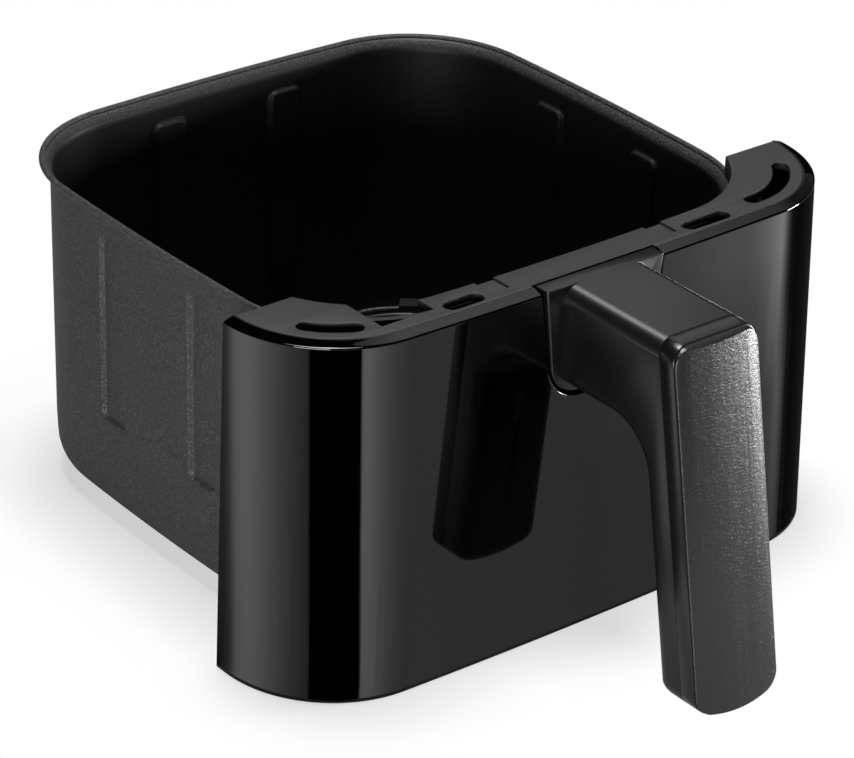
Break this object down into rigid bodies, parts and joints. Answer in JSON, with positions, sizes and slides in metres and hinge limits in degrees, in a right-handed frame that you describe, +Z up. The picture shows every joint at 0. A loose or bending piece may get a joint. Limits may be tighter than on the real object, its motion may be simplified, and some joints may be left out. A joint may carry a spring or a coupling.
{
  "type": "air fryer drawer",
  "caption": "Square non-stick pan with a lift-out crisper plate, a glossy front panel with a slotted top bezel, and a down-turned handle.",
  "frame": {"origin": "centre of the pan's flat floor footprint, on the surface that the drawer stands on", "axes": "+Z up, -Y towards the handle, +X to the right of someone who faces the handle"},
  "size_m": [0.2638, 0.3145, 0.1401],
  "materials": {
    "nonstick_steel": "fine speckled non-stick coating on steel sheet",
    "nonstick_plate": "satin non-stick coating on steel",
    "zinc_steel": "zinc plated",
    "shield_aluminium": "bright rolled sheet",
    "frame_plastic": "matt heat-resistant plastic",
    "gloss_panel": "polished black",
    "matte_bezel": "fine matt",
    "satin_handle": "satin black",
    "smooth_grip": "smooth black",
    "textured_grip": "fine grained",
    "silicone": "matt silicone"
  },
  "bodies": {
    "drawer": {"pan": "nonstick_steel", "mounting_bracket": "zinc_steel", "bracket_rivets": "zinc_steel", "weld_nuts": "zinc_steel", "heat_shield": "shield_aluminium", "inner_frame": "frame_plastic", "front_panel": "gloss_panel", "panel_screws": "zinc_steel", "top_bezel": "matte_bezel", "bezel_screws": "zinc_steel", "handle_upper_shell": "satin_handle", "handle_lower_shell": "satin_handle", "handle_core": "zinc_steel", "handle_screws": "zinc_steel", "core_screws": "zinc_steel", "grip_frame": "smooth_grip", "grip_screws": "zinc_steel", "grip_insert": "textured_grip"},
    "crisper": {"crisper_plate": "nonstick_plate", "plate_bumper_back_left": "silicone", "plate_bumper_back_right": "silicone", "plate_bumper_front_left": "silicone", "plate_bumper_front_right": "silicone"}
  },
  "joints": [
    {"name": "crisper_lift", "type": "slide", "parent": "drawer", "child": "crisper", "axis": [0, 0, 1], "range_m": [0, 0.16]}
  ]
}
